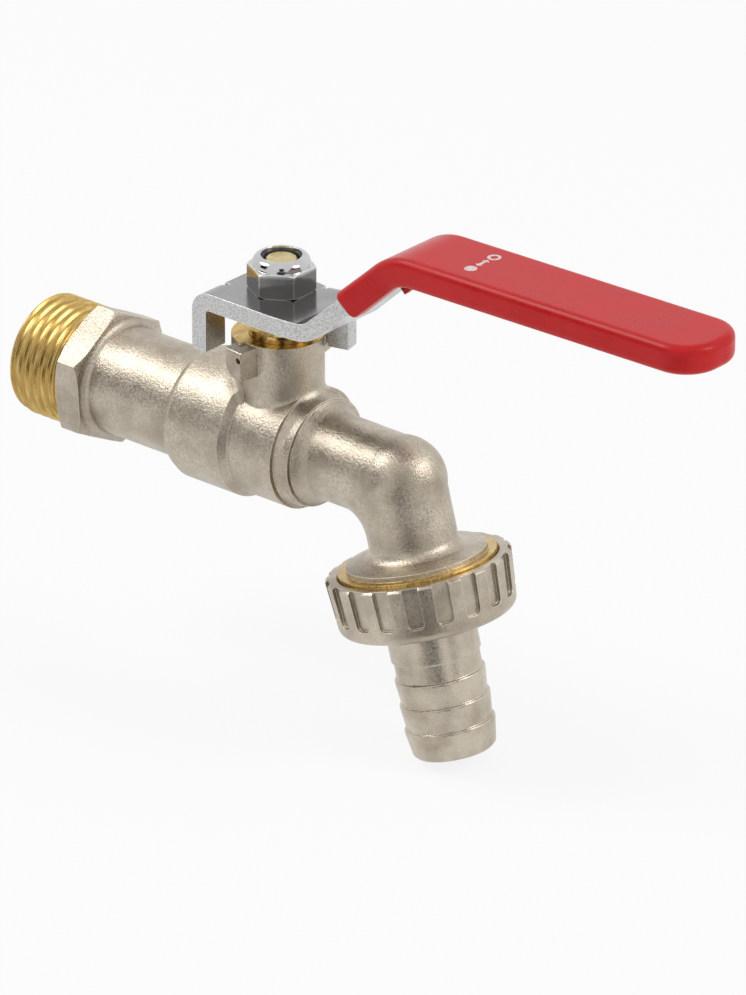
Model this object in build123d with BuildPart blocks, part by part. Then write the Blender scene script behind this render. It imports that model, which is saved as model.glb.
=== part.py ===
from build123d import *
from math import cos, radians, sin, sqrt, tan
import os

# Washing machine valve: a half inch ball tap with a quarter turn lever and a barbed hose tail.
# Frame: origin at the shoulder of the inlet thread on the flow axis, +X along the flow,
# +Z up the stem. All sizes are in millimetres and all angles in degrees.

# Inlet connector
inlet_thread_d = 20.955
inlet_thread_length = 11.4
inlet_thread_chamfer = 0.9
inlet_bore_d = 13.0
hex_across_flats = 21.3
hex_length = 5.1
hex_turn = 3.6
hex_corner_bevel = 1.3
connector_tube_d = 18.6
connector_fillet = 1.2
connector_thread_d = 20.0
connector_thread_chamfer = 0.6

# Where the stem stands, and the length of the connector that shows
stem_x = 40.85
body_start_x = 24.3

# Ball, its seats and the waterway
ball_d = 15.4
waterway_d = 10.0
seat_length = 3.4
seat_back_gap = 4.2
seat_lip_clearance = 0.1
seat_bore_d = 10.6
slot_width = 4.2
slot_depth = 2.0
tang_clearance = 0.1
ring_clearance = 0.05

# Body outside
barrel_d = 22.9
barrel_rim_d = 21.8
barrel_rim_bevel = 1.3
barrel_end_x = 36.5
barrel_step_length = 1.2
chamber_d = 20.6
chamber_bore_d = 16.4
dome_centre_x = 44.8
tube_d = 14.8
dome_end_d = 15.8
dome_run_out = 1.5

# Oval collars round the chamber: each is a circle drawn out sideways, raised on both sides
pad_start_x = 38.6
pad_end_x = 47.5
pad_reach = 10.75
pad_end_r = 10.2
dome_ring_end_x = 50.15
dome_ring_reach = 9.45
dome_ring_end_r = 9.15

# Neck and stem bore
neck_d = 14.1
neck_top_z = 18.9
neck_fillet = 1.8
stem_d = 8.0
stem_clearance = 0.05
collar_d = 10.4
collar_gap = 0.2
collar_thickness = 1.4
collar_clearance = 0.1
washer_thickness = 0.6
stem_guide_length = 2.2
packing_d = 10.8
packing_length = 2.5

# Lugs on the neck
post_reach = 8.3
post_start_angle = 192.0
post_end_angle = 256.0
post_root_z = 13.4
boss_angle = 262.0
boss_width = 3.9
boss_reach = 10.6
boss_top_drop = 0.25
boss_height = 5.0
boss_corner = 2.4
boss_edge = 0.5
boss_hole_d = 1.1
boss_hole_side = 0.7
boss_hole_drop = 1.5
boss_hole_depth = 2.0
stop_lug_reach = 10.6
stop_lug_height = 3.4

# Gland nut
gland_across_flats = 11.0
gland_hex_height = 2.8
gland_stand_off = 1.5
gland_corner_bevel = 0.5

# Lever
lever_thickness = 3.0
lever_underside_z = 23.75
lever_rise = 15.4
lever_incline = 43.0
grip_tilt = 1.0
lever_back_x = -8.4
first_bend_x = 13.15
lower_bend_radius = 5.0
upper_bend_radius = 9.0
plate_front_y = -9.84
plate_back_y = 6.6
plate_end_x = 9.5
grip_start_x = 26.0
grip_width = 12.8
lever_tip_x = 90.7
grip_corner = 5.4
shoulder_radius = 40.0
plate_corner = 0.8
tab_bottom_z = 16.3
tab_inner_radius = 0.6
front_tab_outer_x = -10.87
front_tab_width = 4.74
rear_tab_corner_x = 9.28
rear_tab_corner_y = 5.92
rear_tab_width = 3.8
rear_tab_skew = 15.0
stop_gap = 0.3

# Lever sleeve
sleeve_wall = 1.0
sleeve_start_x = 20.6
sleeve_lip = 1.6
sleeve_closed_end = 9.0
sleeve_edge = 1.4

# Stem top and lock nut
stem_thread_d = 6.0
stem_flats = 4.6
flats_clearance = 0.1
stem_top_z = 32.2
stem_tip_chamfer = 0.6
nut_across_flats = 10.0
nut_hex_height = 4.3
nut_height = 6.0
nut_collar_d = 9.6
nut_mouth_d = 6.9
nut_crimp_thickness = 0.5
nut_turn = 31.8
nut_corner_bevel = 0.5
nut_collar_round = 1.25
insert_thickness = 1.3
insert_wall = 0.95

# Spout
elbow_x = 66.62
spout_lean = 14.65
elbow_ball_d = 15.2
elbow_knuckle_d = 14.7
elbow_knuckle_length = 9.0
elbow_inner_radius = 3.4
elbow_bore_radius = 7.5
flange_top_u = 12.1
flange_d = 23.6
flange_slope = 0.65
flange_fillet = 2.0
outlet_thread_d = 26.441
outlet_thread_start_u = 13.6
outlet_thread_end_u = 18.0
outlet_thread_chamfer = 0.6

# Union nut, gasket and hose tail, measured along the spout from the elbow
gasket_thickness = 1.6
gasket_bore_d = 11.0
collar_seat_thickness = 1.6
tail_collar_d = 24.4
union_clearance = 0.06
union_rim_u = 14.1
union_lip_thickness = 2.55
union_d = 31.0
union_foot_d = 29.7
union_mouth_bevel = 0.4
union_foot_fillet = 1.6
union_grooves = 19
union_groove_turn = 11.5
union_groove_round = 0.8
union_groove_width = 2.7
union_groove_depth = 0.7
union_groove_length = 7.0
tail_bore_d = 10.4
tail_neck_d = 15.0
tail_neck_clearance = 0.25
tail_neck_end_u = 29.8
tail_root_d = 14.3
barb_d = 15.1
barb_first_u = 33.0
barb_pitch = 4.3
barb_count = 3
barb_land = 0.5
tail_end_u = 46.6
tail_tip_d = 13.9
tail_tip_chamfer = 0.6

# Radial play of the screwed joints, whose threads are plain cylinders here
thread_play = 0.05

# Values that follow from the sizes above
seat_back = seat_back_gap + seat_length
connector_end_x = stem_x - seat_back
chamber_end_x = stem_x + seat_back
collar_base_z = chamber_bore_d / 2 + collar_gap
washer_base_z = collar_base_z + collar_thickness
guide_base_z = washer_base_z + washer_thickness
packing_base_z = guide_base_z + stem_guide_length
gland_base_z = packing_base_z + packing_length
gland_hex_z = neck_top_z + gland_stand_off
lever_top_z = lever_underside_z + lever_thickness
lever_mid_z = lever_underside_z + lever_thickness / 2
grip_mid_z = lever_mid_z + lever_rise
second_bend_x = first_bend_x + lever_rise / tan(radians(lever_incline))
tip_mid_z = grip_mid_z + (lever_tip_x - second_bend_x) * tan(radians(grip_tilt))
bend_mid_radius = tab_inner_radius + lever_thickness / 2
stem_axis = Axis((stem_x, 0, 0), (0, 0, 1))
stem_side = Plane(origin=(stem_x, 0, 0), x_dir=(1, 0, 0), z_dir=(0, -1, 0))
spout_direction = Vector(sin(radians(spout_lean)), 0, -cos(radians(spout_lean)))
elbow = Vector(elbow_x, 0, 0)
spout_axis = Axis(elbow, spout_direction)
spout_side = Plane(origin=elbow, x_dir=spout_direction, z_dir=(0, -1, 0))
tail_collar_u = outlet_thread_end_u + gasket_thickness
tail_collar_end_u = tail_collar_u + collar_seat_thickness
union_end_u = tail_collar_end_u + union_lip_thickness


def across_flow(x):
    """Plane square to the flow axis at x, with its first axis along Y."""
    return Plane(origin=(x, 0, 0), x_dir=(0, 1, 0), z_dir=(1, 0, 0))


def over_stem(z):
    """Level plane at height z, centred on the stem axis."""
    return Plane(origin=(stem_x, 0, z), x_dir=(1, 0, 0), z_dir=(0, 0, 1))


def toward(angle):
    """Level unit vector at an angle from the flow direction."""
    return Vector(cos(radians(angle)), sin(radians(angle)), 0)


def down_spout(u):
    """Plane square to the spout at distance u from the elbow."""
    return Plane(origin=elbow + spout_direction * u, x_dir=(0, 1, 0), z_dir=spout_direction)


os.makedirs("parts", exist_ok=True)

# Body: one brass forging with barrel, ball chamber, neck, lugs, spout and flange.
dome_r = chamber_d / 2
dome_end_x = dome_centre_x + sqrt(dome_r ** 2 - (dome_end_d / 2) ** 2)
tube_r = tube_d / 2
rear_corner = Vector(rear_tab_corner_x, rear_tab_corner_y)
rear_along = toward(rear_tab_skew)
rear_outward = Vector(0, 0, 1).cross(rear_along)
open_stop = rear_corner - rear_along * (rear_tab_width + stop_gap)
closed_stop_x = plate_front_y + front_tab_width + stop_gap
outlet_thread_r = outlet_thread_d / 2
with BuildPart() as body:
    # Barrel, chamber and dome, turned about the flow axis
    with BuildSketch(Plane.XZ):
        with BuildLine():
            Polyline(
                (body_start_x, 0),
                (body_start_x, barrel_rim_d / 2),
                (body_start_x + barrel_rim_bevel, barrel_d / 2),
                (barrel_end_x, barrel_d / 2),
                (barrel_end_x + barrel_step_length, dome_r),
                (dome_centre_x, dome_r),
            )
            RadiusArc((dome_centre_x, dome_r), (dome_end_x, dome_end_d / 2), dome_r)
            Polyline(
                (dome_end_x, dome_end_d / 2),
                (dome_end_x + dome_run_out, tube_r),
                (dome_end_x + dome_run_out, 0),
                (body_start_x, 0),
            )
        make_face()
    revolve(axis=Axis.X)
    # Neck that carries the stem, with a round foot
    with BuildSketch(over_stem(0)):
        Circle(neck_d / 2)
    extrude(amount=neck_top_z)
    neck_foot = body.edges(Select.LAST).filter_by(
        lambda edge: 4 < edge.center().Z < neck_top_z - 1
    )
    fillet(neck_foot, radius=neck_fillet)
    # Spout: bent tube, round inside its corner
    with BuildLine() as spout_line:
        FilletPolyline(
            (dome_end_x, 0, 0),
            (elbow_x, 0, 0),
            elbow + spout_direction * flange_top_u,
            radius=tube_r + elbow_inner_radius,
        )
    with BuildSketch(across_flow(dome_end_x)):
        Circle(tube_r)
    sweep(path=spout_line.wires()[0])
    # Knuckle on the outside of the corner: two short tubes and a ball
    with BuildSketch(across_flow(elbow_x - elbow_knuckle_length)):
        Circle(elbow_knuckle_d / 2)
    extrude(amount=elbow_knuckle_length)
    with BuildSketch(down_spout(0)):
        Circle(elbow_knuckle_d / 2)
    extrude(amount=elbow_knuckle_length)
    with Locations(elbow):
        Sphere(elbow_ball_d / 2)
    # Flange and outlet thread, turned about the spout
    with BuildSketch(spout_side):
        with BuildLine():
            Polyline((0.1, 0), (0.1, tube_r - 0.1), (flange_top_u - flange_fillet, tube_r))
            RadiusArc(
                (flange_top_u - flange_fillet, tube_r),
                (flange_top_u, tube_r + flange_fillet),
                -flange_fillet,
            )
            Polyline(
                (flange_top_u, tube_r + flange_fillet),
                (flange_top_u + flange_slope, flange_d / 2),
                (outlet_thread_start_u, flange_d / 2),
                (outlet_thread_start_u, outlet_thread_r),
                (outlet_thread_end_u - outlet_thread_chamfer, outlet_thread_r),
                (outlet_thread_end_u, outlet_thread_r - outlet_thread_chamfer),
                (outlet_thread_end_u, 0),
                (0.1, 0),
            )
        make_face()
    revolve(axis=spout_axis)
    # Oval collars: the pads beside the chamber and the lower ring on the dome
    for collar_start_x, collar_end_x, collar_reach, collar_end_r in (
        (pad_start_x, pad_end_x, pad_reach, pad_end_r),
        (pad_end_x, dome_ring_end_x, dome_ring_reach, dome_ring_end_r),
    ):
        with BuildSketch(across_flow(collar_start_x)):
            SlotCenterToCenter(2 * (collar_reach - collar_end_r), 2 * collar_end_r)
        extrude(amount=collar_end_x - collar_start_x)
    # Cast shoulder beside the neck
    with BuildSketch(over_stem(post_root_z)):
        Circle(post_reach)
        with BuildLine():
            Polyline(
                (0, 0),
                toward(post_start_angle) * 2 * post_reach,
                toward(post_end_angle) * 2 * post_reach,
                (0, 0),
            )
        make_face(mode=Mode.INTERSECT)
    extrude(amount=neck_top_z - post_root_z)
    # Drilled boss in front of it, for a sealing wire
    boss_out = toward(boss_angle)
    boss_level = neck_top_z - boss_top_drop - boss_height / 2
    boss_face = Plane(
        origin=Vector(stem_x, 0, boss_level) + boss_out * boss_reach,
        x_dir=toward(boss_angle + 90),
        z_dir=boss_out,
    )
    with BuildSketch(boss_face) as boss_sketch:
        Rectangle(boss_width, boss_height)
        fillet(
            boss_sketch.vertices().sort_by_distance((-boss_width / 2, -boss_height / 2))[0],
            radius=boss_corner,
        )
    extrude(amount=-(boss_reach - neck_d / 2 + 1))
    fillet(body.faces().sort_by_distance(boss_face.origin)[0].edges(), radius=boss_edge)
    with BuildSketch(boss_face):
        with Locations((boss_width / 2 - boss_hole_side, boss_height / 2 - boss_hole_drop)):
            Circle(boss_hole_d / 2)
    extrude(amount=-boss_hole_depth, mode=Mode.SUBTRACT)
    # Stop lug at the back, between the lever's rear tab when open and its front tab when closed
    with BuildSketch(over_stem(neck_top_z - boss_top_drop - stop_lug_height)):
        Circle(stop_lug_reach)
        with BuildLine():
            Polyline(
                (closed_stop_x, 0),
                (closed_stop_x, stop_lug_reach),
                open_stop + rear_outward * stop_lug_reach,
                open_stop,
                (0, 0),
                (closed_stop_x, 0),
            )
        make_face(mode=Mode.INTERSECT)
    extrude(amount=stop_lug_height)
    # Thread for the connector, ball chamber and the bent waterway
    with BuildSketch(across_flow(body_start_x)):
        Circle(connector_thread_d / 2)
    extrude(amount=connector_end_x - body_start_x, mode=Mode.SUBTRACT)
    with BuildSketch(across_flow(connector_end_x)):
        Circle(chamber_bore_d / 2)
    extrude(amount=chamber_end_x - connector_end_x, mode=Mode.SUBTRACT)
    with BuildLine() as water_line:
        FilletPolyline(
            (chamber_end_x, 0, 0),
            (elbow_x, 0, 0),
            elbow + spout_direction * outlet_thread_end_u,
            radius=elbow_bore_radius,
        )
    with BuildSketch(across_flow(chamber_end_x)):
        Circle(waterway_d / 2)
    sweep(path=water_line.wires()[0], mode=Mode.SUBTRACT)
    # Stem pocket, guide bore and packing chamber
    with BuildSketch(over_stem(0)):
        Circle(collar_d / 2 + collar_clearance)
    extrude(amount=guide_base_z, mode=Mode.SUBTRACT)
    with BuildSketch(over_stem(guide_base_z)):
        Circle(stem_d / 2 + stem_clearance)
    extrude(amount=stem_guide_length, mode=Mode.SUBTRACT)
    with BuildSketch(over_stem(packing_base_z)):
        Circle(packing_d / 2)
    extrude(amount=neck_top_z - packing_base_z, mode=Mode.SUBTRACT)
body.part.label = "body"
export_step(body.part, "parts/body.step")

# Inlet connector: turned end piece with a hexagon, screwed into the barrel against the seat.
hex_corner_r = hex_across_flats / 2 / cos(radians(30))
hex_bevel_length = hex_corner_bevel * tan(radians(30))
inlet_thread_r = inlet_thread_d / 2
connector_thread_r = connector_thread_d / 2 - thread_play
with BuildPart() as inlet_connector:
    with BuildSketch(across_flow(0)):
        RegularPolygon(hex_across_flats / 2, 6, major_radius=False, rotation=30 + hex_turn)
    extrude(amount=hex_length)
    with BuildSketch(Plane.XZ):
        with BuildLine():
            Polyline(
                (0, 0),
                (0, hex_corner_r - hex_corner_bevel),
                (hex_bevel_length, hex_corner_r),
                (hex_length - hex_bevel_length, hex_corner_r),
                (hex_length, hex_corner_r - hex_corner_bevel),
                (hex_length, 0),
                (0, 0),
            )
        make_face()
    revolve(axis=Axis.X, mode=Mode.INTERSECT)
    with BuildSketch(Plane.XZ):
        with BuildLine():
            Polyline(
                (-inlet_thread_length, 0),
                (-inlet_thread_length, inlet_thread_r - inlet_thread_chamfer),
                (-inlet_thread_length + inlet_thread_chamfer, inlet_thread_r),
                (0, inlet_thread_r),
                (hex_length, connector_tube_d / 2 + connector_fillet),
            )
            RadiusArc(
                (hex_length, connector_tube_d / 2 + connector_fillet),
                (hex_length + connector_fillet, connector_tube_d / 2),
                -connector_fillet,
            )
            Polyline(
                (hex_length + connector_fillet, connector_tube_d / 2),
                (body_start_x, connector_tube_d / 2),
                (body_start_x, connector_thread_r - connector_thread_chamfer),
                (body_start_x + connector_thread_chamfer, connector_thread_r),
                (connector_end_x - connector_thread_chamfer, connector_thread_r),
                (connector_end_x, connector_thread_r - connector_thread_chamfer),
                (connector_end_x, 0),
                (-inlet_thread_length, 0),
            )
        make_face()
    revolve(axis=Axis.X)
    with BuildSketch(across_flow(-inlet_thread_length)):
        Circle(inlet_bore_d / 2)
    extrude(amount=inlet_thread_length + connector_end_x, mode=Mode.SUBTRACT)
inlet_connector.part.label = "inlet_connector"
export_step(inlet_connector.part, "parts/inlet_connector.step")

# Ball: chromed brass sphere, bored along the flow, with a cross slot on top for the stem.
ball_r = ball_d / 2
ball_centre = Vector(stem_x, 0, 0)
slot_floor_z = ball_r - slot_depth
with BuildPart() as ball:
    with Locations(ball_centre):
        Sphere(ball_r)
    with BuildSketch(across_flow(stem_x - ball_d)):
        Circle(waterway_d / 2)
    extrude(amount=2 * ball_d, mode=Mode.SUBTRACT)
    with BuildSketch(over_stem(slot_floor_z)):
        Rectangle(slot_width, ball_d)
    extrude(amount=slot_depth, mode=Mode.SUBTRACT)
ball.part.label = "ball"
export_step(ball.part, "parts/ball.step")

# Seat rings: one PTFE ring on each side of the ball, cupped to its sphere.
seat_r = chamber_bore_d / 2 - ring_clearance
seat_bore_r = seat_bore_d / 2
seat_cup_r = ball_r + seat_lip_clearance
seat_cup_end = sqrt(seat_cup_r ** 2 - seat_bore_r ** 2)
seat_cup_mouth_r = sqrt(seat_cup_r ** 2 - seat_back_gap ** 2)
for ring_name, flow_sign in (("inlet_seat_ring", -1), ("outlet_seat_ring", 1)):
    with BuildPart() as seat_ring:
        with BuildSketch(Plane.XZ):
            with BuildLine():
                Polyline(
                    (stem_x + flow_sign * seat_back_gap, seat_cup_mouth_r),
                    (stem_x + flow_sign * seat_back_gap, seat_r),
                    (stem_x + flow_sign * seat_back, seat_r),
                    (stem_x + flow_sign * seat_back, seat_bore_r),
                    (stem_x + flow_sign * seat_cup_end, seat_bore_r),
                )
                RadiusArc(
                    (stem_x + flow_sign * seat_cup_end, seat_bore_r),
                    (stem_x + flow_sign * seat_back_gap, seat_cup_mouth_r),
                    -flow_sign * seat_cup_r,
                )
            make_face()
        revolve(axis=Axis.X)
    seat_ring.part.label = ring_name
    export_step(seat_ring.part, f"parts/{ring_name}.step")

# Stem: brass spindle put in from inside, with a tang, a blow-out proof collar and a flatted top.
stem_r = stem_d / 2
stem_thread_r = stem_thread_d / 2
tang_width = slot_width - 2 * tang_clearance
tang_length = 2 * sqrt((seat_back_gap - tang_clearance) ** 2 - (tang_width / 2) ** 2)
tang_base_z = slot_floor_z + tang_clearance
with BuildPart() as stem:
    with BuildSketch(over_stem(tang_base_z)):
        Rectangle(tang_width, tang_length)
    extrude(amount=collar_base_z - tang_base_z)
    with BuildSketch(over_stem(collar_base_z)):
        Circle(collar_d / 2)
    extrude(amount=collar_thickness)
    with BuildSketch(over_stem(washer_base_z)):
        Circle(stem_r)
    extrude(amount=lever_underside_z - washer_base_z)
    with BuildSketch(over_stem(lever_underside_z)):
        Circle(stem_thread_r)
        Rectangle(stem_thread_d, stem_flats, mode=Mode.INTERSECT)
    extrude(amount=lever_thickness)
    with BuildSketch(over_stem(lever_top_z)):
        Circle(stem_thread_r)
    extrude(amount=stem_top_z - lever_top_z)
    chamfer(stem.faces().sort_by(Axis.Z)[-1].edges(), length=stem_tip_chamfer)
stem.part.label = "stem"
export_step(stem.part, "parts/stem.step")

# Thrust washer: PTFE ring between the stem's collar and the body.
with BuildPart() as stem_thrust_washer:
    with BuildSketch(over_stem(washer_base_z)):
        Circle(collar_d / 2)
        Circle(stem_r + stem_clearance, mode=Mode.SUBTRACT)
    extrude(amount=washer_thickness)
stem_thrust_washer.part.label = "stem_thrust_washer"
export_step(stem_thrust_washer.part, "parts/stem_thrust_washer.step")

# Packing: PTFE ring that the gland nut squeezes around the stem.
with BuildPart() as stem_packing:
    with BuildSketch(over_stem(packing_base_z)):
        Circle(packing_d / 2 - ring_clearance)
        Circle(stem_r + stem_clearance, mode=Mode.SUBTRACT)
    extrude(amount=packing_length)
stem_packing.part.label = "stem_packing"
export_step(stem_packing.part, "parts/stem_packing.step")

# Gland nut: brass hexagon with a short thread into the neck.
gland_corner_r = gland_across_flats / 2 / cos(radians(30))
gland_top_z = gland_hex_z + gland_hex_height
gland_bevel_height = gland_corner_bevel * tan(radians(30))
with BuildPart() as gland_nut:
    with BuildSketch(over_stem(gland_hex_z)):
        RegularPolygon(gland_across_flats / 2, 6, major_radius=False)
    extrude(amount=gland_hex_height)
    with BuildSketch(stem_side):
        with BuildLine():
            Polyline(
                (0, gland_hex_z),
                (gland_corner_r - gland_corner_bevel, gland_hex_z),
                (gland_corner_r, gland_hex_z + gland_bevel_height),
                (gland_corner_r, gland_top_z - gland_bevel_height),
                (gland_corner_r - gland_corner_bevel, gland_top_z),
                (0, gland_top_z),
                (0, gland_hex_z),
            )
        make_face()
    revolve(axis=stem_axis, mode=Mode.INTERSECT)
    with BuildSketch(over_stem(gland_base_z)):
        Circle(packing_d / 2 - thread_play)
    extrude(amount=gland_hex_z - gland_base_z)
    with BuildSketch(over_stem(gland_base_z)):
        Circle(stem_r + stem_clearance)
    extrude(amount=gland_top_z - gland_base_z, mode=Mode.SUBTRACT)
gland_nut.part.label = "gland_nut"
export_step(gland_nut.part, "parts/gland_nut.step")

# Lever: one steel strip, stamped to its outline and bent, with a stop tab front and rear.
front_tab_inner_x = front_tab_outer_x + lever_thickness
front_tab_y = plate_front_y + front_tab_width / 2
front_tab_foot = Vector(stem_x + front_tab_inner_x, front_tab_y, lever_mid_z)
front_bend_x = front_tab_inner_x + tab_inner_radius
rear_tab_foot = Vector(stem_x, 0, lever_mid_z) + rear_corner - rear_along * rear_tab_width / 2
rear_bend_right = rear_corner - rear_outward * tab_inner_radius
rear_bend_left = rear_bend_right - rear_along * rear_tab_width
notch = tab_inner_radius
lever_line_points = (
    (stem_x + lever_back_x, 0, lever_mid_z),
    (stem_x + first_bend_x, 0, lever_mid_z),
    (stem_x + second_bend_x, 0, grip_mid_z),
    (stem_x + lever_tip_x, 0, tip_mid_z),
)
lever_plan_points = (
    (front_bend_x, plate_front_y),
    (plate_end_x, plate_front_y),
    (grip_start_x, -grip_width / 2),
    (lever_tip_x, -grip_width / 2),
    (lever_tip_x, grip_width / 2),
    (grip_start_x, grip_width / 2),
    rear_bend_right + rear_along * notch,
    rear_bend_left - rear_along * notch,
    rear_bend_left - rear_along * notch + rear_outward * 2 * notch,
    (lever_back_x, plate_back_y),
    (lever_back_x, plate_front_y + front_tab_width + notch),
    (front_bend_x, plate_front_y + front_tab_width + notch),
    (front_bend_x, plate_front_y),
)
lever_top = tip_mid_z + lever_thickness
with BuildPart() as lever:
    with BuildLine() as lever_line:
        FilletPolyline(*lever_line_points, radius=(lower_bend_radius, upper_bend_radius))
    with BuildSketch(across_flow(stem_x + lever_back_x)):
        with Locations((0, lever_mid_z)):
            Rectangle(4 * grip_width, lever_thickness)
    sweep(path=lever_line.wires()[0])
    with BuildSketch(over_stem(0)) as lever_plan:
        with BuildLine():
            Polyline(*lever_plan_points)
        make_face()
        tip_corners = lever_plan.vertices().group_by(Axis.X)[-1]
        fillet(tip_corners, radius=grip_corner)
        shoulders = [
            lever_plan.vertices().sort_by_distance((grip_start_x, -grip_width / 2))[0],
            lever_plan.vertices().sort_by_distance((plate_end_x, plate_front_y))[0],
        ]
        fillet(shoulders, radius=shoulder_radius)
        fillet(
            lever_plan.vertices().sort_by_distance((lever_back_x, plate_back_y))[0],
            radius=plate_corner,
        )
    extrude(amount=lever_top, mode=Mode.INTERSECT)
    # Tabs bent down: the front one over the left end, the rear one over a slanting line
    for tab_foot, tab_outward, tab_width in (
        (front_tab_foot, toward(180), front_tab_width),
        (rear_tab_foot, rear_outward, rear_tab_width),
    ):
        tab_along = tab_outward.cross(Vector(0, 0, 1))
        with BuildLine(Plane(origin=tab_foot, x_dir=tab_outward, z_dir=tab_along)) as tab_line:
            FilletPolyline(
                (-bend_mid_radius, 0),
                (lever_thickness / 2, 0),
                (lever_thickness / 2, tab_bottom_z - lever_mid_z),
                radius=bend_mid_radius,
            )
        with BuildSketch(Plane(origin=tab_line.line @ 0, x_dir=tab_along, z_dir=tab_outward)):
            Rectangle(tab_width, lever_thickness)
        sweep(path=tab_line.wires()[0])
    # Hole with two flats for the stem
    with BuildSketch(over_stem(lever_underside_z)):
        Circle(stem_thread_r + flats_clearance)
        Rectangle(2 * stem_thread_d, stem_flats + 2 * flats_clearance, mode=Mode.INTERSECT)
    extrude(amount=lever_thickness, mode=Mode.SUBTRACT)
lever.part.label = "lever"
export_step(lever.part, "parts/lever.step")

# Lever sleeve: soft vinyl cover, open underneath but for two lips, closed round the tip.
sleeve_start_rise = (sleeve_start_x - first_bend_x) * tan(radians(lever_incline))
sleeve_start = Vector(stem_x + sleeve_start_x, 0, lever_mid_z + sleeve_start_rise)
second_bend = Vector(stem_x + second_bend_x, 0, grip_mid_z)
incline_direction = (second_bend - sleeve_start).normalized()
grip_direction = Vector(cos(radians(grip_tilt)), 0, sin(radians(grip_tilt)))
grip_length = lever_tip_x - second_bend_x + 2 * sleeve_wall
sleeve_end_plane = Plane(origin=sleeve_start, x_dir=(0, 1, 0), z_dir=incline_direction)
sleeve_thickness = lever_thickness + 2 * sleeve_wall
sleeve_half_width = grip_width / 2 + sleeve_wall
with BuildPart() as lever_sleeve:
    with BuildLine() as sleeve_line:
        FilletPolyline(
            sleeve_start,
            second_bend,
            second_bend + grip_direction * grip_length,
            radius=upper_bend_radius,
        )
    with BuildSketch(sleeve_end_plane):
        Rectangle(4 * grip_width, sleeve_thickness)
    sweep(path=sleeve_line.wires()[0])
    with BuildSketch(over_stem(0)) as sleeve_plan:
        with BuildLine():
            Polyline(
                (plate_end_x, sleeve_half_width),
                (plate_end_x, plate_front_y - sleeve_wall),
                (grip_start_x, -sleeve_half_width),
                (lever_tip_x + sleeve_wall, -sleeve_half_width),
                (lever_tip_x + sleeve_wall, sleeve_half_width),
                (plate_end_x, sleeve_half_width),
            )
        make_face()
        fillet(sleeve_plan.vertices().group_by(Axis.X)[-1], radius=grip_corner + sleeve_wall)
        fillet(
            sleeve_plan.vertices().sort_by_distance((grip_start_x, -sleeve_half_width))[0],
            radius=shoulder_radius,
        )
    extrude(amount=lever_top, mode=Mode.INTERSECT)
    long_edges = lever_sleeve.edges().filter_by(
        lambda edge: abs(edge.tangent_at(0.5).Z) < 0.9
        and (abs(edge.tangent_at(0.5).Y) < 0.9 or edge.center().X > stem_x + lever_tip_x)
    )
    end_edges = lever_sleeve.faces().sort_by_distance(sleeve_start)[0].edges()
    fillet(long_edges - end_edges, radius=sleeve_edge)
    add(lever.part, mode=Mode.SUBTRACT)
    with BuildLine() as slot_line:
        FilletPolyline(
            sleeve_start,
            second_bend,
            second_bend + grip_direction * (lever_tip_x - second_bend_x - sleeve_closed_end),
            radius=upper_bend_radius,
        )
    with BuildSketch(sleeve_end_plane):
        with Locations((0, -sleeve_thickness / 2)):
            Rectangle(grip_width - 2 * sleeve_lip, sleeve_thickness)
    sweep(path=slot_line.wires()[0], mode=Mode.SUBTRACT)
lever_sleeve.part.label = "lever_sleeve"
export_step(lever_sleeve.part, "parts/lever_sleeve.step")

# Lock nut: plated steel hexagon with a crimped collar that holds a nylon ring.
nut_corner_r = nut_across_flats / 2 / cos(radians(30))
nut_bevel_height = nut_corner_bevel * tan(radians(30))
nut_hex_top_z = lever_top_z + nut_hex_height
nut_top_z = lever_top_z + nut_height
insert_top_z = nut_top_z - nut_crimp_thickness
insert_base_z = insert_top_z - insert_thickness
insert_bore_r = stem_thread_r + thread_play
insert_r = insert_bore_r + insert_wall
nut_collar_r = nut_collar_d / 2
with BuildPart() as lock_nut:
    with BuildSketch(over_stem(lever_top_z)):
        RegularPolygon(nut_across_flats / 2, 6, major_radius=False, rotation=nut_turn)
    extrude(amount=nut_hex_height)
    with BuildSketch(stem_side):
        with BuildLine():
            Polyline(
                (0, lever_top_z),
                (nut_corner_r - nut_corner_bevel, lever_top_z),
                (nut_corner_r, lever_top_z + nut_bevel_height),
                (nut_corner_r, nut_hex_top_z - nut_bevel_height),
                (nut_corner_r - nut_corner_bevel, nut_hex_top_z),
                (0, nut_hex_top_z),
                (0, lever_top_z),
            )
        make_face()
    revolve(axis=stem_axis, mode=Mode.INTERSECT)
    with BuildSketch(stem_side):
        with BuildLine():
            Polyline(
                (0, nut_hex_top_z - nut_bevel_height),
                (nut_collar_r, nut_hex_top_z - nut_bevel_height),
                (nut_collar_r, nut_top_z - nut_collar_round),
            )
            RadiusArc(
                (nut_collar_r, nut_top_z - nut_collar_round),
                (nut_collar_r - nut_collar_round, nut_top_z),
                -nut_collar_round,
            )
            Polyline(
                (nut_collar_r - nut_collar_round, nut_top_z),
                (0, nut_top_z),
                (0, nut_hex_top_z - nut_bevel_height),
            )
        make_face()
    revolve(axis=stem_axis)
    with BuildSketch(over_stem(lever_top_z)):
        Circle(insert_bore_r)
    extrude(amount=nut_height, mode=Mode.SUBTRACT)
    with BuildSketch(over_stem(insert_base_z)):
        Circle(insert_r)
    extrude(amount=insert_thickness, mode=Mode.SUBTRACT)
    with BuildSketch(over_stem(insert_top_z)):
        Circle(nut_mouth_d / 2)
    extrude(amount=nut_crimp_thickness, mode=Mode.SUBTRACT)
lock_nut.part.label = "lock_nut"
export_step(lock_nut.part, "parts/lock_nut.step")

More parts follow.
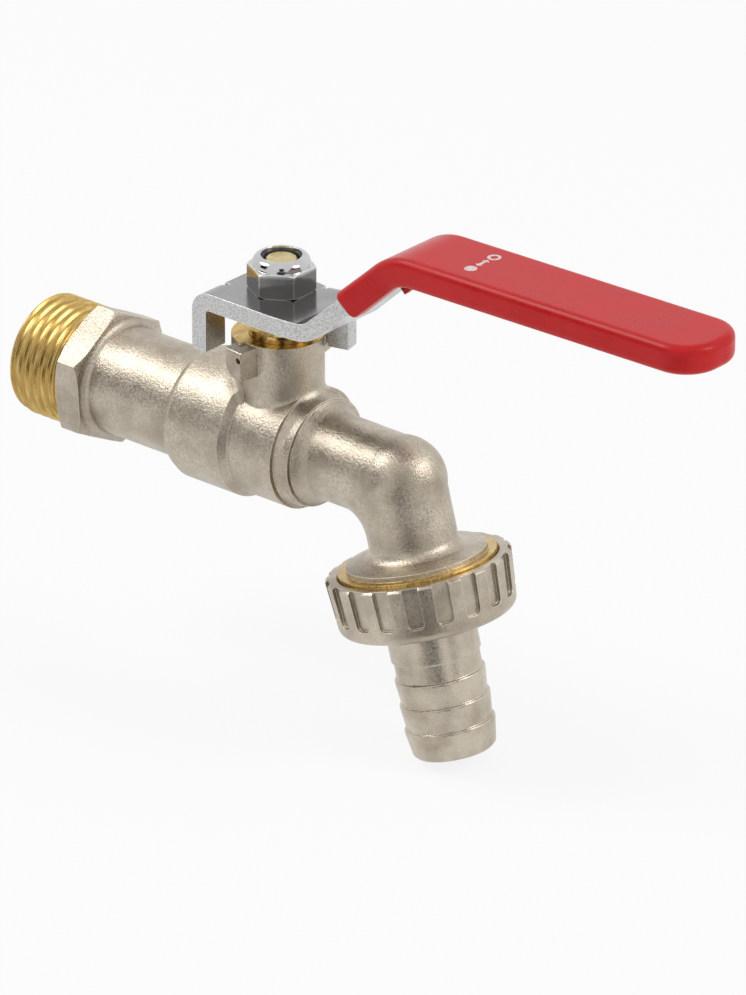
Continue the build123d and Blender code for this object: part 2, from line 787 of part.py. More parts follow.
# Nylon ring held in the lock nut.
with BuildPart() as lock_nut_insert:
    with BuildSketch(over_stem(insert_base_z)):
        Circle(insert_r)
        Circle(insert_bore_r, mode=Mode.SUBTRACT)
    extrude(amount=insert_thickness)
lock_nut_insert.part.label = "lock_nut_insert"
export_step(lock_nut_insert.part, "parts/lock_nut_insert.step")

# Hose tail: turned tube with a flat collar, held by the union nut, and three barbs for a hose.
tail_neck_r = tail_neck_d / 2
tail_root_r = tail_root_d / 2
barb_r = barb_d / 2
barb_starts = [barb_first_u + index * barb_pitch for index in range(barb_count)]
barb_points = []
for barb_u in barb_starts:
    barb_points += [(barb_u, tail_root_r), (barb_u, barb_r), (barb_u + barb_land, barb_r)]
with BuildPart() as hose_tail:
    with BuildSketch(spout_side):
        with BuildLine():
            Polyline(
                (tail_collar_u, tail_bore_d / 2),
                (tail_collar_u, tail_collar_d / 2),
                (tail_collar_end_u, tail_collar_d / 2),
                (tail_collar_end_u, tail_neck_r),
                (tail_neck_end_u, tail_neck_r),
                (tail_neck_end_u, tail_root_r),
                *barb_points,
                (tail_end_u - tail_tip_chamfer, tail_tip_d / 2),
                (tail_end_u, tail_tip_d / 2 - tail_tip_chamfer),
                (tail_end_u, tail_bore_d / 2),
                (tail_collar_u, tail_bore_d / 2),
            )
        make_face()
    revolve(axis=spout_axis)
hose_tail.part.label = "hose_tail"
export_step(hose_tail.part, "parts/hose_tail.step")

# Gasket: flat rubber ring between the outlet thread's end and the hose tail's collar.
with BuildPart() as hose_tail_gasket:
    with BuildSketch(down_spout(outlet_thread_end_u)):
        Circle(tail_collar_d / 2)
        Circle(gasket_bore_d / 2, mode=Mode.SUBTRACT)
    extrude(amount=gasket_thickness)
hose_tail_gasket.part.label = "hose_tail_gasket"
export_step(hose_tail_gasket.part, "parts/hose_tail_gasket.step")

# Union nut: screws onto the outlet thread and pulls the hose tail up, with gripping grooves.
union_r = union_d / 2
union_foot_r = union_foot_d / 2
union_bore_r = outlet_thread_r + union_clearance
union_lip_r = tail_neck_r + tail_neck_clearance
flank = Vector(union_end_u - union_rim_u, union_foot_r - union_r).normalized()
groove_planes = []
for groove in PolarLocations(0, union_grooves, union_groove_turn):
    outward = Plane(down_spout(union_rim_u).location * groove).x_dir
    groove_planes.append(
        Plane(
            origin=elbow + spout_direction * union_rim_u + outward * (union_r - union_groove_depth),
            x_dir=spout_direction * flank.X + outward * flank.Y,
            z_dir=outward * flank.X - spout_direction * flank.Y,
        )
    )
with BuildPart() as union_nut:
    with BuildSketch(spout_side):
        with BuildLine():
            Polyline(
                (union_rim_u + union_mouth_bevel, union_bore_r),
                (union_rim_u, union_bore_r + union_mouth_bevel),
                (union_rim_u, union_r - union_mouth_bevel),
                (union_rim_u + union_mouth_bevel, union_r),
                (union_end_u - union_foot_fillet, union_foot_r),
            )
            RadiusArc(
                (union_end_u - union_foot_fillet, union_foot_r),
                (union_end_u, union_foot_r - union_foot_fillet),
                union_foot_fillet,
            )
            Polyline(
                (union_end_u, union_foot_r - union_foot_fillet),
                (union_end_u, union_lip_r),
                (tail_collar_end_u, union_lip_r),
                (tail_collar_end_u, union_bore_r),
                (union_rim_u + union_mouth_bevel, union_bore_r),
            )
        make_face()
    revolve(axis=spout_axis)
    # Gripping grooves along the tapering flank, open at the rim and rounded at their lower ends
    with BuildSketch(*groove_planes):
        RectangleRounded(2 * union_groove_length, union_groove_width, union_groove_round)
    extrude(amount=2 * union_groove_depth, mode=Mode.SUBTRACT)
union_nut.part.label = "union_nut"
export_step(union_nut.part, "parts/union_nut.step")
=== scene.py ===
from math import cos, floor, pi, radians, sin

import bmesh
import bpy
from mathutils import Matrix, Vector


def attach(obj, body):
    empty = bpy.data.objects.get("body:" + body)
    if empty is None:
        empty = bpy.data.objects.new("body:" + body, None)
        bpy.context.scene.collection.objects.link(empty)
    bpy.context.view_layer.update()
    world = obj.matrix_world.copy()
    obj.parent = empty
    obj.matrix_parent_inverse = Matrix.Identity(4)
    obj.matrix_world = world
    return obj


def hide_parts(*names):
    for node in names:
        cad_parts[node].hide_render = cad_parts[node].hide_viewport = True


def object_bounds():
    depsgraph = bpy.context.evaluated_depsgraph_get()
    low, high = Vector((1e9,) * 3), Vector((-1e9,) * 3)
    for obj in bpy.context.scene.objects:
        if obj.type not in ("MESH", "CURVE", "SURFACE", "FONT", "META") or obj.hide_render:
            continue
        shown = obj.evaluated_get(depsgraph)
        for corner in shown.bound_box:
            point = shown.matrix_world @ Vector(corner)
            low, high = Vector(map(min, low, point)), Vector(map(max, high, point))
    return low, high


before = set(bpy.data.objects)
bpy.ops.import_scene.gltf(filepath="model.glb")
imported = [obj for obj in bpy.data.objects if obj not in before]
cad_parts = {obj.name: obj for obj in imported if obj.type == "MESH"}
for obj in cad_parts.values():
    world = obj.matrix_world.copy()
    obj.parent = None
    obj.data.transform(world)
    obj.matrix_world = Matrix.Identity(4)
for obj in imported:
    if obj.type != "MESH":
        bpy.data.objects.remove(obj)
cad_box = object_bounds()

# Body. A hot-pressed brass forging with the barrel, ball chamber, lever stops, neck and spout
# in one piece. It is sandblasted and nickel plated, and then the neck's rim and the outlet
# thread are turned, so those two are bare brass.
MM = 0.001
flat_angle = radians(0.7)  # faces that turn less than this are one flat face
spout_lean = radians(14.65)
spout_root = 66.62 * MM
outlet_thread_start = 13.55 * MM
neck_rim_height = 18.82 * MM
nickel_light = (0.610, 0.545, 0.448)
nickel_dull = (0.375, 0.322, 0.252)
# Edge colour for worn plating and a painted edge highlight.
nickel_worn_and_highlight = (0.800, 0.745, 0.650)
brass_light = (0.740, 0.540, 0.205)
brass_dull = (0.420, 0.255, 0.070)


def node(tree, kind, **settings):
    """Adds one shader node and sets its properties and its unlinked inputs."""
    made = tree.nodes.new("ShaderNode" + kind)
    for key, value in settings.items():
        key = key.replace("_", " ") if key.replace("_", " ") in made.inputs else key
        if key in made.inputs:
            made.inputs[key].default_value = value
        else:
            setattr(made, key, value)
    return made


def link(tree, source, target):
    """Joins an output socket to an input socket."""
    tree.links.new(source, target)


def blank(name, colour, roughness, metallic=1.0):
    """A new material; returns it with its node tree, its shader and the object's coordinates."""
    material = bpy.data.materials.new(name)
    material.use_nodes = True
    tree = material.node_tree
    shader = tree.nodes["Principled BSDF"]
    shader.inputs["Metallic"].default_value = metallic
    shader.inputs["Base Color"].default_value = (*colour, 1)
    shader.inputs["Roughness"].default_value = roughness
    return material, tree, shader, node(tree, "TexCoord").outputs["Object"]


def noise(tree, at, size_mm, detail=3.0, stretch=(1, 1, 1)):
    """A noise whose features are size_mm across, drawn out where stretch is below 1."""
    mapping = node(tree, "Mapping", Scale=stretch)
    link(tree, at, mapping.inputs["Vector"])
    made = node(tree, "TexNoise", Scale=1 / (size_mm * MM), Detail=detail, Roughness=0.6)
    link(tree, mapping.outputs["Vector"], made.inputs["Vector"])
    return made.outputs["Fac"]


def between(tree, value, low, high, out_low, out_high):
    """Maps a value's range from low to high onto another range, clamped."""
    made = node(tree, "MapRange", clamp=True)
    for index, number in enumerate((low, high, out_low, out_high), 1):
        made.inputs[index].default_value = number
    link(tree, value, made.inputs[0])
    return made.outputs[0]


def mixed(tree, factor, first, second):
    """A colour that goes from first to second as the factor goes from 0 to 1."""
    made = node(tree, "Mix", data_type="RGBA")
    link(tree, factor, made.inputs[0])
    for colour, socket in ((first, made.inputs[6]), (second, made.inputs[7])):
        if isinstance(colour, tuple):
            socket.default_value = (*colour, 1)
        else:
            link(tree, colour, socket)
    return made.outputs[2]


def blended(tree, factor, first, second):
    """A number that goes from first to second as the factor goes from 0 to 1."""
    made = node(tree, "Mix", data_type="FLOAT")
    link(tree, factor, made.inputs[0])
    for value, socket in ((first, made.inputs[2]), (second, made.inputs[3])):
        if isinstance(value, (int, float)):
            socket.default_value = value
        else:
            link(tree, value, socket)
    return made.outputs[0]


def sums(tree, how, first, second):
    """The result of one sum on two values, each a socket or a number."""
    made = node(tree, "Math", operation=how)
    for value, socket in ((first, made.inputs[0]), (second, made.inputs[1])):
        if isinstance(value, (int, float)):
            socket.default_value = value
        else:
            link(tree, value, socket)
    return made.outputs[0]


def parts_of(tree, at):
    """The x, y and z of a coordinate."""
    made = node(tree, "SeparateXYZ")
    link(tree, at, made.inputs[0])
    return made.outputs


def bumped(tree, shader, height, depth_mm, edge_mm=0.2):
    """Gives the shader a bump of depth_mm from a height between 0 and 1, and soft edges."""
    made = node(tree, "Bump", Strength=1.0, Distance=depth_mm * MM)
    link(tree, node(tree, "Bevel", samples=6, Radius=edge_mm * MM).outputs[0], made.inputs["Normal"])
    link(tree, height, made.inputs["Height"])
    link(tree, made.outputs["Normal"], shader.inputs["Normal"])


def edge_wear_and_highlight(tree, width_mm=0.25, strength=1.0):
    """1 where the surface turns over an edge within width_mm, and 0 on flats. It lightens edges, partly as
    wear and partly as a painted edge highlight.
    """
    rounded = node(tree, "Bevel", samples=4, Radius=width_mm * MM)
    turned = node(tree, "VectorMath", operation="DOT_PRODUCT")
    link(tree, rounded.outputs[0], turned.inputs[0])
    link(tree, node(tree, "NewGeometry").outputs["Normal"], turned.inputs[1])
    return between(tree, turned.outputs["Value"], 0.99, 0.88, 0, strength)


def blasted_nickel(name, bare_zone, grain_mm=0.40, grain_depth_mm=0.10, roughness=0.30, speckle=0.65):
    """Sandblasted nickel plate, with bare turned brass where bare_zone gives 1."""
    material, tree, shader, at = blank(name, nickel_light, roughness)
    grain = noise(tree, at, grain_mm, 4.0)
    stains = noise(tree, at, 7.0, 5.0)
    colour = mixed(tree, between(tree, stains, 0.32, 0.62, 0, 1), nickel_dull, nickel_light)
    colour = mixed(tree, between(tree, grain, 0.56, 0.40, 0, speckle), colour, nickel_dull)
    # Edges lightened: plating wear together with a painted edge highlight.
    colour = mixed(tree, edge_wear_and_highlight(tree, 0.25, 0.7), colour, nickel_worn_and_highlight)
    gloss = between(tree, grain, 0.3, 0.7, roughness - 0.05, roughness + 0.12)
    height = grain
    if bare_zone is not None:
        bare = bare_zone(tree, at)
        turning = noise(tree, at, 0.5, 3.0, (1.0, 0.15, 0.15))
        brass = mixed(tree, between(tree, turning, 0.35, 0.65, 0, 1), brass_dull, brass_light)
        colour = mixed(tree, bare, colour, brass)
        gloss = blended(tree, bare, gloss, between(tree, turning, 0.3, 0.7, 0.22, 0.36))
        height = blended(tree, bare, grain, between(tree, turning, 0, 1, 0.45, 0.55))
    link(tree, colour, shader.inputs["Base Color"])
    link(tree, gloss, shader.inputs["Roughness"])
    bumped(tree, shader, height, grain_depth_mm)
    return material


def body_bare_zone(tree, at):
    """The neck's rim and posts above the plating line, and the outlet thread."""
    place = parts_of(tree, at)
    rim = sums(tree, "GREATER_THAN", place[2], neck_rim_height)
    along = sums(tree, "MULTIPLY", sums(tree, "SUBTRACT", place[0], spout_root), sin(spout_lean))
    down = sums(tree, "SUBTRACT", along, sums(tree, "MULTIPLY", place[2], cos(spout_lean)))
    return sums(tree, "MAXIMUM", rim, sums(tree, "GREATER_THAN", down, outlet_thread_start))


def dress(name, material, edge_mm=0.0, angle=34):
    """Gives a solid of the frame its material and, where edge_mm is set, soft edges."""
    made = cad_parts[name]
    made.data.materials.clear()
    made.data.materials.append(material)
    if edge_mm:
        soften(made, edge_mm, angle)
    return made


def soften(made, edge_mm, angle=34):
    """Rounds the sharp edges of an object by modifiers."""
    weld = made.modifiers.new("weld", "WELD")
    weld.merge_threshold = 1e-6
    flats = made.modifiers.new("flats", "DECIMATE")
    flats.decimate_type = "DISSOLVE"
    flats.angle_limit = flat_angle
    bevel = made.modifiers.new("edges", "BEVEL")
    bevel.limit_method = "ANGLE"
    bevel.angle_limit = radians(angle)
    bevel.width = edge_mm * MM
    bevel.segments = 2
    bevel.use_clamp_overlap = True
    shading = made.modifiers.new("shading", "WEIGHTED_NORMAL")
    shading.weight = 60


dress("body", blasted_nickel("blasted_nickel_body", body_bare_zone), 0.22)

# Inlet connector. A nickel plated forging with a hexagon for the spanner, screwed and sealed
# into the body's barrel. Its half inch pipe thread is cut afterwards and is bare brass.
inlet_thread_radius = 20.955 / 2 * MM
inlet_thread_length = 11.4 * MM
inlet_thread_pitch = 1.814 * MM
inlet_thread_depth = 0.60 * MM
inlet_lead_bevel = 0.9 * MM
inlet_bore_radius = 6.5 * MM
inlet_run_out = 1.1 * MM
hexagon_edge_angle = radians(32)
hexagon_edge_round = 0.25 * MM
end_face_ring_radius = 8.2 * MM
steps_along_thread = 96
steps_around_thread = 144


def thread_radius(x, turn):
    """The thread's radius at x and at an angle: rounded crests and roots on 55 degree flanks."""
    phase = x / inlet_thread_pitch + turn / (2 * pi)
    phase = abs((phase - floor(phase)) * 2 - 1)
    depth = min(1.0, max(0.0, (phase - 0.08) / 0.55))
    depth = depth * depth * (3 - 2 * depth) * 0.35 + depth * 0.65
    fade = min(1.0, max(0.0, (-x - 0.35 * MM) / inlet_run_out))
    lead = inlet_thread_radius - inlet_lead_bevel + (x + inlet_thread_length)
    return min(inlet_thread_radius - inlet_thread_depth * depth * fade, max(lead, inlet_bore_radius))


def thread_bare_zone(tree, at):
    """The thread and its end face."""
    return sums(tree, "LESS_THAN", parts_of(tree, at)[0], -0.03 * MM)


def inlet_connector():
    """The hexagon, tube and bore of the solid, with a cut thread in place of its plain one."""
    made = bmesh.new()
    made.from_mesh(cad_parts["inlet_connector"].data)
    bmesh.ops.remove_doubles(made, verts=made.verts, dist=1e-6)
    plain = [face for face in made.faces if face.calc_center_median().x < -0.05 * MM]
    bmesh.ops.delete(made, geom=plain, context="FACES")
    bmesh.ops.dissolve_limit(made, angle_limit=flat_angle, verts=made.verts, edges=made.edges)
    corners = [e for e in made.edges if e.is_manifold and e.calc_face_angle(0) > hexagon_edge_angle
               and min(v.co.x for v in e.verts) > -0.01 * MM]
    bmesh.ops.bevel(made, geom=corners, offset=hexagon_edge_round, segments=2, affect="EDGES", profile=0.5,
                    clamp_overlap=True)
    rings = []
    for step in range(steps_along_thread + 1):
        x = -inlet_thread_length * step / steps_along_thread
        ring = []
        for part in range(steps_around_thread):
            turn = 2 * pi * part / steps_around_thread
            r = thread_radius(x, turn)
            ring.append(made.verts.new((x, r * cos(turn), r * sin(turn))))
        rings.append(ring)
    for r in (end_face_ring_radius, inlet_bore_radius):
        ring = []
        for part in range(steps_around_thread):
            turn = 2 * pi * part / steps_around_thread
            ring.append(made.verts.new((-inlet_thread_length, r * cos(turn), r * sin(turn))))
        rings.append(ring)
    for first, second in zip(rings, rings[1:]):
        for part in range(steps_around_thread):
            after = (part + 1) % steps_around_thread
            face = made.faces.new((first[part], first[after], second[after], second[part]))
            face.smooth = True
    bmesh.ops.recalc_face_normals(made, faces=made.faces)
    mesh = bpy.data.meshes.new("threaded_inlet")
    made.to_mesh(mesh)
    made.free()
    return mesh


connector = bpy.data.objects.new("threaded_inlet", inlet_connector())
bpy.context.scene.collection.objects.link(connector)
for face in connector.data.polygons:
    face.use_smooth = True
connector.modifiers.new("shading", "WEIGHTED_NORMAL").weight = 60


def inlet_material():
    """Blasted nickel, and on the thread brass crests over roots darkened towards dull brown."""
    material = blasted_nickel("blasted_nickel_inlet", thread_bare_zone)
    tree = material.node_tree
    shader = tree.nodes["Principled BSDF"]
    at = node(tree, "TexCoord").outputs["Object"]
    place = parts_of(tree, at)
    flat = node(tree, "CombineXYZ")
    link(tree, place[1], flat.inputs[1])
    link(tree, place[2], flat.inputs[2])
    out = node(tree, "VectorMath", operation="LENGTH")
    link(tree, flat.outputs[0], out.inputs[0])
    crest = between(tree, out.outputs["Value"], inlet_thread_radius - inlet_thread_depth,
                    inlet_thread_radius - 0.1 * MM, 1, 0)
    root = sums(tree, "MULTIPLY", crest, thread_bare_zone(tree, at))
    before = shader.inputs["Base Color"].links[0].from_socket
    link(tree, mixed(tree, sums(tree, "MULTIPLY", root, 0.6), before, (0.40, 0.25, 0.07)),
         shader.inputs["Base Color"])
    return material


connector.data.materials.append(inlet_material())
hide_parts("inlet_connector")
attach(connector, "tap_body")

# Seat rings and stem seals. Two seat rings of white PTFE lie on each side of the ball, and a
# thrust washer and a packing ring lie round the stem. All are turned from rod and pressed in.


def waxy(name, colour, shade, roughness):
    """A waxy plastic with faint clouds in it."""
    material, tree, shader, at = blank(name, colour, roughness, 0.0)
    clouds = noise(tree, at, 1.6, 4.0)
    tone = mixed(tree, between(tree, clouds, 0.35, 0.65, 0, 1), colour, shade)
    gloss = between(tree, clouds, 0.3, 0.7, roughness - 0.08, roughness + 0.08)
    link(tree, tone, shader.inputs["Base Color"])
    link(tree, gloss, shader.inputs["Roughness"])
    bumped(tree, shader, noise(tree, at, 0.3, 3.0), 0.01)
    return material


white_ptfe = waxy("white_ptfe", (0.86, 0.86, 0.83), (0.74, 0.74, 0.70), 0.42)
for seat in ("inlet_seat_ring", "outlet_seat_ring", "stem_thrust_washer", "stem_packing"):
    dress(seat, white_ptfe)

# Ball. A brass ball with a through bore and a slot for the stem, chrome plated and polished
# so that it slides on the seat rings.


def polished(name, colour, shade, roughness, satin_sides_with_painted_highlight=False, dark_reflection_painted_on_flats=False):
    """Polished plating with a faint orange peel and dull marks. Its edges are lightened, partly as wear and
    partly as a painted highlight. When asked, its sides are satin and painted lighter as a highlight, and
    its flats carry a painted dark reflection.
    """
    material, tree, shader, at = blank(name, colour, roughness)
    haze = noise(tree, at, 4.0, 5.0)
    fine = noise(tree, at, 0.28, 3.0)
    tone = mixed(tree, between(tree, haze, 0.35, 0.65, 0, 1), colour, shade)
    gloss = between(tree, haze, 0.3, 0.7, roughness - 0.04, roughness + 0.08)
    height = between(tree, fine, 0, 1, 0.42, 0.58)
    if satin_sides_with_painted_highlight:
        # Cut sides: satin roughness, plus a lighter colour that is a painted highlight.
        facing = node(tree, "SeparateXYZ")
        link(tree, node(tree, "TexCoord").outputs["Normal"], facing.inputs[0])
        side = between(tree, sums(tree, "ABSOLUTE", facing.outputs[2], 0.0), 0.55, 0.75, 1, 0)
        tone = mixed(tree, sums(tree, "MULTIPLY", side, between(tree, fine, 0.4, 0.6, 0.25, 1)), tone,
                     (0.70, 0.70, 0.69))
        gloss = blended(tree, side, gloss, between(tree, fine, 0.3, 0.7, 0.30, 0.48))
        height = blended(tree, side, height, fine)
    if dark_reflection_painted_on_flats:
        # Painted dark reflection: below the collar, the nut's flats are darkened to near black.
        film_and_painted_reflection = between(tree, parts_of(tree, at)[2], 30.3 * MM, 30.9 * MM, 0.85, 0)
        tone = mixed(tree, film_and_painted_reflection, tone, (0.13, 0.12, 0.11))
    # Edges lightened to near white: wear together with a painted edge highlight.
    link(tree, mixed(tree, edge_wear_and_highlight(tree), tone, (0.90, 0.90, 0.90)), shader.inputs["Base Color"])
    link(tree, gloss, shader.inputs["Roughness"])
    bumped(tree, shader, height, 0.03)
    return material


dress("ball", polished("chromed_ball", (0.72, 0.72, 0.74), (0.60, 0.60, 0.62), 0.08))

# Stem and gland nut. Both are turned from brass rod. The stem passes through two washers, and
# the hexagon gland nut is screwed into the neck and presses the packing round the stem.


def turned_brass(name, light, dull, roughness):
    """Bare brass with fine rings from the lathe tool and a brown film in its dull places."""
    material, tree, shader, at = blank(name, light, roughness)
    rings = noise(tree, at, 0.22, 3.0, (0.08, 0.08, 1.0))
    film_and_painted_reflection = noise(tree, at, 3.0, 5.0)
    tone = mixed(tree, between(tree, film_and_painted_reflection, 0.34, 0.66, 0, 1), light, dull)
    tone = mixed(tree, between(tree, rings, 0.4, 0.6, 0, 0.35), tone, dull)
    # Edges lightened: wear together with a painted edge highlight.
    link(tree, mixed(tree, edge_wear_and_highlight(tree), tone, (0.95, 0.80, 0.45)), shader.inputs["Base Color"])
    link(tree, between(tree, film_and_painted_reflection, 0.3, 0.7, roughness, roughness + 0.14), shader.inputs["Roughness"])
    bumped(tree, shader, rings, 0.012)
    return material


gland_brass = turned_brass("gland_brass", (0.76, 0.58, 0.26), (0.44, 0.29, 0.10), 0.10)
stem_brass = turned_brass("stem_brass", (0.70, 0.60, 0.34), (0.50, 0.40, 0.18), 0.24)
dress("gland_nut", gland_brass, 0.15)
dress("stem", stem_brass, 0.12)

# Lever. A strip of steel, 3 mm thick, cut and bent in a press with its stop tab turned down, then chrome
# plated. Its cut edges keep a satin texture and carry a painted highlight, a lighter colour than the faces,
# and its faces are polished.
lever_plating = polished("chromed_lever", (0.36, 0.36, 0.36), (0.31, 0.31, 0.315), 0.16,
                         satin_sides_with_painted_highlight=True)
dress("lever", lever_plating)

# Lever sleeve. Soft red vinyl, dipped or pushed over the lever. It is glossy, and its rounded edges are a
# lighter red, partly from wear and partly as a painted sheen. A small ring, arrow and disc are printed on
# it in white ink.
mark_reach = 83.6 * MM
above_sleeve = 90 * MM
mark_gap = 2.9 * MM
ink_lift = 0.03 * MM


def glossy_vinyl():
    """Red vinyl with a fine skin, a little lighter and duller where hands rub it."""
    material, tree, shader, at = blank("glossy_red_vinyl", (0.62, 0.012, 0.014), 0.30, 0.0)
    skin = noise(tree, at, 0.35, 3.0)
    rubbed = noise(tree, at, 9.0, 4.0)
    tone = mixed(tree, between(tree, rubbed, 0.35, 0.7, 0, 1), (0.60, 0.010, 0.012), (0.66, 0.022, 0.024))
    # Lighter red on the rounded edges: rubbing wear together with a painted sheen.
    tone = mixed(tree, edge_wear_and_highlight(tree, 0.4, 0.6), tone, (0.72, 0.05, 0.05))
    link(tree, tone, shader.inputs["Base Color"])
    link(tree, between(tree, rubbed, 0.3, 0.7, 0.24, 0.38), shader.inputs["Roughness"])
    shader.inputs["Specular IOR Level"].default_value = 0.22
    bumped(tree, shader, skin, 0.012, 0.5)
    return material


sleeve = dress("lever_sleeve", glossy_vinyl())
white_ink, ink_tree, ink_shader, ink_at = blank("white_ink", (0.85, 0.75, 0.75), 0.5, 0.0)
ink_cover = between(ink_tree, noise(ink_tree, ink_at, 0.25, 3.0), 0.36, 0.5, 0, 1)
ink_tone = mixed(ink_tree, ink_cover, (0.78, 0.20, 0.20), (0.86, 0.78, 0.78))
link(ink_tree, ink_tone, ink_shader.inputs["Base Color"])


def printed(name, outer, inner, across):
    """A flat mark of ink on the sleeve, from an outline and the outline of its hole, if any."""
    made = bmesh.new()
    loops = []
    for outline in (outer, inner):
        for lift in (ink_lift, -ink_lift):
            ring = []
            for u, v in outline or ():
                start = Vector((mark_reach + u, across + v, above_sleeve))
                hit, where, _, _ = sleeve.ray_cast(start, Vector((0, 0, -1)))
                ring.append(made.verts.new(where + Vector((0, 0, lift))))
            loops.append(ring)
    top, under, hole_top, hole_under = loops
    count = len(top)
    for part in range(count):
        after = (part + 1) % count
        made.faces.new((under[part], under[after], top[after], top[part]))
        if hole_top:
            made.faces.new((top[part], top[after], hole_top[after], hole_top[part]))
            made.faces.new((hole_top[part], hole_top[after], hole_under[after], hole_under[part]))
            made.faces.new((hole_under[part], hole_under[after], under[after], under[part]))
    if not hole_top:
        made.faces.new(top)
        made.faces.new(list(reversed(under)))
    bmesh.ops.recalc_face_normals(made, faces=made.faces)
    mesh = bpy.data.meshes.new(name)
    made.to_mesh(mesh)
    made.free()
    mark = bpy.data.objects.new(name, mesh)
    bpy.context.scene.collection.objects.link(mark)
    mesh.materials.append(white_ink)
    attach(mark, "lever_body")


def circle(radius_mm, count=40):
    """Points on a circle."""
    turns = [2 * pi * k / count for k in range(count)]
    return [(radius_mm * MM * cos(turn), radius_mm * MM * sin(turn)) for turn in turns]


printed("ink_ring", circle(1.15), circle(0.62), mark_gap)
printed("ink_disc", circle(1.05), None, -mark_gap)
arrow = ((0.0, -1.45), (0.75, -0.75), (0.28, -0.75), (0.28, 0.75), (0.75, 0.75), (0.0, 1.45),
         (-0.75, 0.75), (-0.28, 0.75), (-0.28, -0.75), (-0.75, -0.75))
printed("ink_arrow", [(u * MM, v * MM) for u, v in arrow], None, 0.0)

# Lock nut. A plated steel M6 nut with a ring of dark nylon rolled into its collar, which grips
# the stem's thread and holds the lever down.
# The nut's flats carry a painted dark reflection, and its edges a painted highlight.
nut_plating = polished("chromed_lock_nut", (0.58, 0.58, 0.58), (0.48, 0.48, 0.48), 0.09,
                       dark_reflection_painted_on_flats=True)
dress("lock_nut", nut_plating)
dark_nylon = waxy("dark_nylon", (0.030, 0.032, 0.034), (0.055, 0.057, 0.060), 0.38)
dress("lock_nut_insert", dark_nylon)

# Hose tail. A brass tube with three barbs for the hose, turned, nickel plated and dulled by
# blasting. Its black rubber gasket is loose under its flange and seals on the outlet.
dress("hose_tail", blasted_nickel("satin_nickel_tail", None, 0.34, 0.025, 0.26, 0.20), 0.14, 30)
black_rubber = waxy("black_gasket_rubber", (0.020, 0.020, 0.021), (0.035, 0.035, 0.036), 0.62)
dress("hose_tail_gasket", black_rubber)

# Union nut. A forged brass nut with nineteen finger grooves, nickel plated. It turns on the
# hose tail's flange and is screwed up the outlet thread by hand.
dress("union_nut", blasted_nickel("satin_nickel_nut", None, 0.38, 0.06, 0.30, 0.40), 0.20)

# Camera, at the photograph's angle.
azimuth, elevation = radians(40.849), radians(25.193)
focal_length_in_pixels = 8517.5
picture_height_in_pixels = 995
camera_distance, camera_shift_right, camera_shift_down = 1400, 14.898, 9.98
looked_at = Vector((40.85, 0, 0))
toward_camera = Vector((sin(azimuth) * cos(elevation), -cos(azimuth) * cos(elevation), sin(elevation)))
camera_right = Vector((cos(azimuth), sin(azimuth), 0))
camera_up = toward_camera.cross(camera_right)
camera_data = bpy.data.cameras.new("camera")
camera_data.sensor_width = 36
camera_data.lens = camera_data.sensor_width * focal_length_in_pixels / picture_height_in_pixels
camera_data.clip_end = 20
camera = bpy.data.objects.new("camera", camera_data)
bpy.context.scene.collection.objects.link(camera)
place = looked_at + toward_camera * camera_distance
place = place + camera_right * camera_shift_right - camera_up * camera_shift_down
camera.matrix_world = Matrix.Translation(place * MM) @ Matrix(
    (camera_right, camera_up, toward_camera)
).transposed().to_4x4()
bpy.context.scene.camera = camera

# Floor, cards and light. A white floor that keeps a faint shadow, a white room, soft lamps at
# both sides, and grey cards on the camera's side that only reflections show.


def seen_or_mirrored(tree):
    """1 for what the camera sees directly, in a reflection or through glass."""
    path = node(tree, "LightPath").outputs
    mirrored = sums(tree, "MAXIMUM", path["Is Glossy Ray"], path["Is Transmission Ray"])
    return sums(tree, "MAXIMUM", path["Is Camera Ray"], mirrored)


def flat_sheet(name, corners, material):
    """A flat sheet for the studio."""
    mesh = bpy.data.meshes.new(name)
    mesh.from_pydata(corners, [], [(0, 1, 2, 3)])
    mesh.materials.append(material)
    made = bpy.data.objects.new(name, mesh)
    bpy.context.scene.collection.objects.link(made)
    return made


floor_level = cad_box[0][2] - 0.2 * MM
floor_reach = 6
floor_glow = 0.86  # share of the floor's white that shadows can't darken
floor_paint = bpy.data.materials.new("floor_paint")
floor_paint.use_nodes = True
floor_tree = floor_paint.node_tree
floor_tree.nodes.clear()
floor_end = node(floor_tree, "OutputMaterial")
matt = node(floor_tree, "BsdfDiffuse", Color=(0.97, 0.97, 0.97, 1))
glow = node(floor_tree, "Emission", Color=(1, 1, 1, 1), Strength=1.0)
share = node(floor_tree, "MixShader")
link(floor_tree, sums(floor_tree, "MULTIPLY", seen_or_mirrored(floor_tree), floor_glow), share.inputs[0])
link(floor_tree, matt.outputs[0], share.inputs[1])
link(floor_tree, glow.outputs[0], share.inputs[2])
link(floor_tree, share.outputs[0], floor_end.inputs[0])
floor_corners = [(x * floor_reach, y * floor_reach, floor_level)
                 for x, y in ((-1, -1), (1, -1), (1, 1), (-1, 1))]
flat_sheet("floor", floor_corners, floor_paint)

studio_middle = Vector((0.055, 0, 0))
card_paint = bpy.data.materials.new("card_paint")
card_paint.use_nodes = True
card_shader = card_paint.node_tree.nodes["Principled BSDF"]
card_shader.inputs["Base Color"].default_value = (0.03, 0.027, 0.024, 1)
card_shader.inputs["Roughness"].default_value = 1.0


def card(name, corners):
    """A grey card that is seen by reflections alone."""
    made = flat_sheet(name, corners, card_paint)
    made.visible_camera = made.visible_diffuse = made.visible_shadow = False
    made.visible_transmission = False


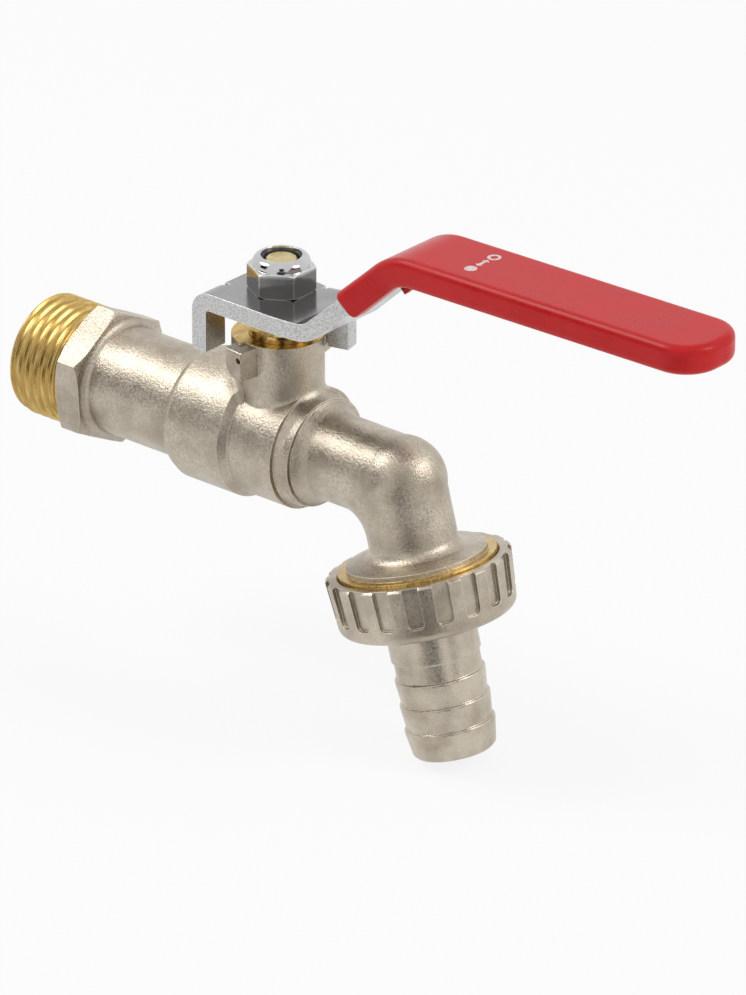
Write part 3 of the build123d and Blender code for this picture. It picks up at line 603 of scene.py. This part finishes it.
def standing_card(name, turn, rise, distance, width, height):
    """An upright card round the object, of half its width and height; turn is from the camera."""
    aim = Vector((sin(azimuth + turn) * cos(rise), -cos(azimuth + turn) * cos(rise), sin(rise)))
    side = Vector((cos(azimuth + turn), sin(azimuth + turn), 0))
    up = aim.cross(side)
    middle = studio_middle + aim * distance
    card(name, [middle - side * width - up * height, middle + side * width - up * height,
                middle + side * width + up * height, middle - side * width + up * height])


standing_card("card_front", radians(0), radians(16), 0.55, 0.085, 0.22)
standing_card("card_left", radians(-76), radians(18), 0.60, 0.15, 0.20)
standing_card("card_right", radians(44), radians(14), 0.60, 0.07, 0.22)
ahead = Vector((sin(azimuth), -cos(azimuth), 0))
over_floor = Vector((studio_middle.x, 0, floor_level + 1 * MM))
near_edge, far_edge = over_floor + ahead * 0.085, over_floor + ahead * 0.42
near_half, far_half = camera_right * 0.05, camera_right * 0.12
card("card_floor", [near_edge - near_half, far_edge - far_half, far_edge + far_half, near_edge + near_half])

world = bpy.data.worlds.new("studio")
bpy.context.scene.world = world
world.use_nodes = True
room = world.node_tree
room.nodes.clear()
room_end = node(room, "OutputWorld")
room_seen = node(room, "Background", Color=(1, 1, 1, 1), Strength=1.0)
room_light = node(room, "Background", Color=(1, 1, 1, 1), Strength=0.42)
room_share = node(room, "MixShader")
link(room, seen_or_mirrored(room), room_share.inputs[0])
link(room, room_light.outputs[0], room_share.inputs[1])
link(room, room_seen.outputs[0], room_share.inputs[2])
link(room, room_share.outputs[0], room_end.inputs[0])


def softbox(name, position, width, height, power):
    """A rectangular lamp at position, turned to the object."""
    data = bpy.data.lights.new(name, "AREA")
    data.shape = "RECTANGLE"
    data.size, data.size_y, data.energy = width, height, power
    lamp = bpy.data.objects.new(name, data)
    bpy.context.scene.collection.objects.link(lamp)
    lamp.location = position
    lamp.rotation_euler = (studio_middle - Vector(position)).to_track_quat("-Z", "Y").to_euler()


softbox("lamp_left", (-0.60, -0.35, 0.85), 0.45, 0.45, 4.2)
softbox("lamp_right", (0.85, 0.30, 0.65), 0.35, 0.5, 3.4)
bpy.context.scene.view_settings.view_transform = "Standard"
